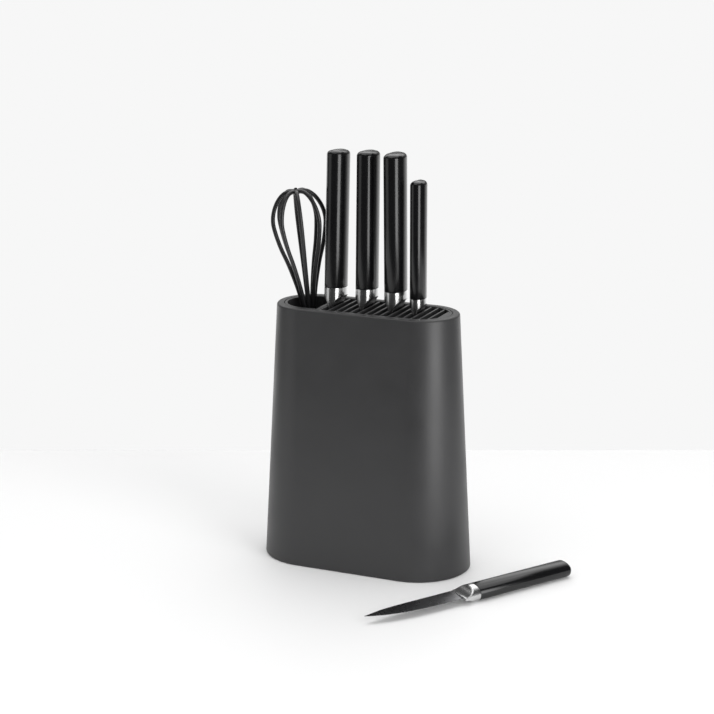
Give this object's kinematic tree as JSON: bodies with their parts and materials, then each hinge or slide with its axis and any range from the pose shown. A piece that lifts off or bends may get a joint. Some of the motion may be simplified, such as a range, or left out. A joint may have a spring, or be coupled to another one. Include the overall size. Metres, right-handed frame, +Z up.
{
  "type": "knife block with knives",
  "caption": "Tapered round-ended knife block with a lift-out slotted insert, knives hanging in the slots, a whisk in the utensil well and a small knife beside it.",
  "frame": {"origin": "centre of the block's foot, on the surface it stands on", "axes": "+Z up, +X along the block's long side with the utensil well at -X, -Y is the block's front"},
  "size_m": [0.2743, 0.1905, 0.3585],
  "materials": {
    "shell_plastic": "satin dark grey moulded plastic",
    "insert_plastic": "satin near-black moulded plastic",
    "plate_plastic": "plain dark grey moulded plastic",
    "pad_rubber": "black rubber",
    "screw_steel": "plain steel",
    "handle_plastic": "semi-gloss black plastic",
    "polished_steel": "polished stainless steel",
    "blade_steel": "fine satin stainless steel",
    "whisk_nylon": "satin black nylon"
  },
  "bodies": {
    "block": {"outer_shell": "shell_plastic", "base_plate": "plate_plastic", "anti_slip_pad": "pad_rubber", "base_screw_1": "screw_steel", "base_screw_2": "screw_steel", "base_screw_3": "screw_steel", "base_screw_4": "screw_steel"},
    "insert": {"slot_insert": "insert_plastic"},
    "chef_knife": {"chef_knife_handle": "handle_plastic", "chef_knife_bolster": "polished_steel", "chef_knife_blade": "blade_steel"},
    "bread_knife": {"bread_knife_handle": "handle_plastic", "bread_knife_bolster": "polished_steel", "bread_knife_blade": "blade_steel"},
    "carving_knife": {"carving_knife_handle": "handle_plastic", "carving_knife_bolster": "polished_steel", "carving_knife_blade": "blade_steel"},
    "utility_knife": {"utility_knife_handle": "handle_plastic", "utility_knife_bolster": "polished_steel", "utility_knife_blade": "blade_steel"},
    "paring_knife": {"paring_knife_handle": "handle_plastic", "paring_knife_bolster": "polished_steel", "paring_knife_blade": "blade_steel"},
    "whisk": {"whisk_cage": "whisk_nylon", "whisk_handle": "whisk_nylon"}
  },
  "joints": [
    {"name": "insert_lift", "type": "slide", "parent": "block", "child": "insert", "axis": [0, 0, 1], "range_m": [0, 0.235]},
    {"name": "chef_knife_draw", "type": "slide", "parent": "insert", "child": "chef_knife", "axis": [0, 0.0506, 0.9987], "range_m": [0, 0.215]},
    {"name": "bread_knife_draw", "type": "slide", "parent": "insert", "child": "bread_knife", "axis": [0, 0.0236, 0.9997], "range_m": [0, 0.215]},
    {"name": "carving_knife_draw", "type": "slide", "parent": "insert", "child": "carving_knife", "axis": [0, -0.0236, 0.9997], "range_m": [0, 0.215]},
    {"name": "utility_knife_draw", "type": "slide", "parent": "insert", "child": "utility_knife", "axis": [0, -0.0087, 1], "range_m": [0, 0.14]},
    {"name": "whisk_draw", "type": "slide", "parent": "insert", "child": "whisk", "axis": [-0.0871, -0.055, 0.9947], "range_m": [0, 0.165]},
    {"name": "paring_knife_lift", "type": "slide", "parent": "block", "child": "paring_knife", "axis": [0, 0, 1], "range_m": [0, 0.1]}
  ]
}
